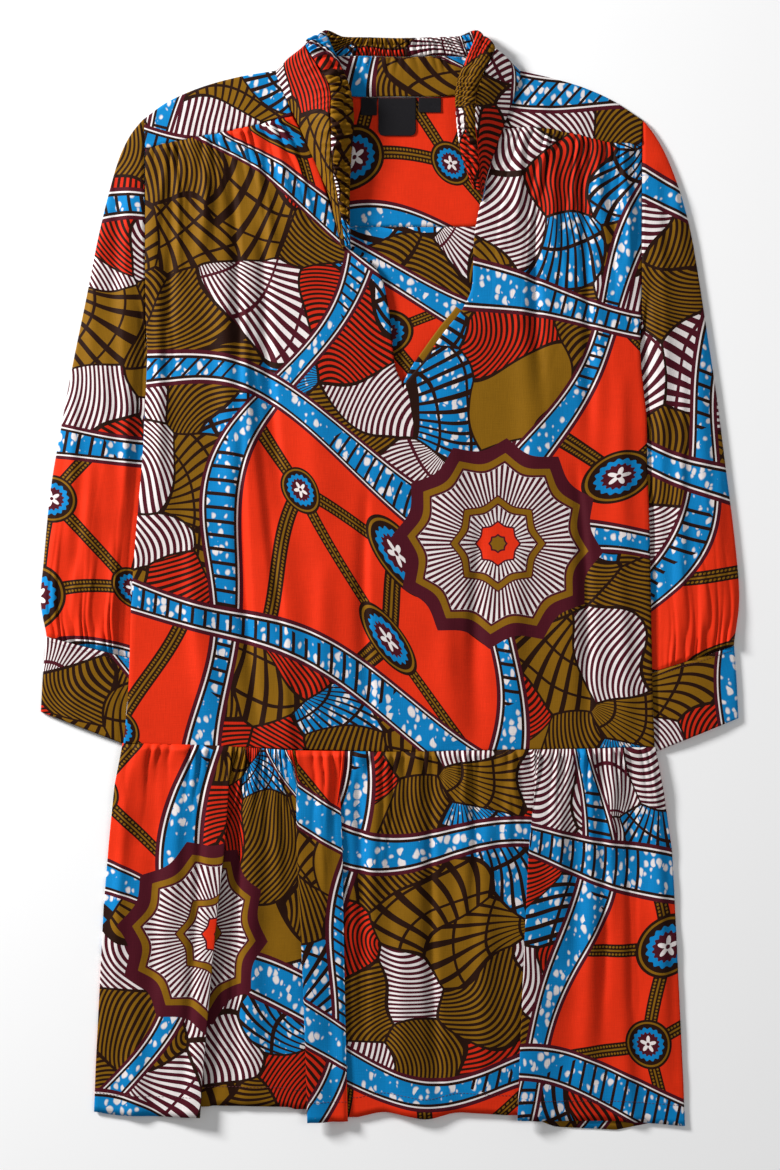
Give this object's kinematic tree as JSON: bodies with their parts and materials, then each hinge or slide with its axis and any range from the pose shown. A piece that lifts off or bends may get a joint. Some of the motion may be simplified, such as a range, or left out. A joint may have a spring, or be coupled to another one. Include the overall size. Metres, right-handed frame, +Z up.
{
  "type": "drop waist tunic",
  "caption": "Cotton tunic laid flat: gathered yoke, V slit, shirred stand collar, full sleeves with cuffs, gathered skirt.",
  "frame": {"origin": "on the surface that the tunic lies on, under the middle of its laid-out outline", "axes": "+X to the right of the garment as seen from above, +Y to the collar, +Z up off the surface"},
  "size_m": [0.6352, 0.9986, 0.0218],
  "materials": {
    "printed_cotton": "matte",
    "label_weave": "satin"
  },
  "bodies": {
    "root": {"front_bodice": "printed_cotton", "back_bodice": "printed_cotton", "front_yoke_left": "printed_cotton", "front_yoke_right": "printed_cotton", "back_yoke": "printed_cotton", "collar": "printed_cotton", "collar_casing": "printed_cotton", "slit_facing": "printed_cotton", "sleeve_left": "printed_cotton", "sleeve_right": "printed_cotton", "cuff_left": "printed_cotton", "cuff_right": "printed_cotton", "skirt_front": "printed_cotton", "skirt_back": "printed_cotton", "label_main": "label_weave", "label_size": "label_weave", "label_origin": "label_weave"}
  },
  "joints": []
}
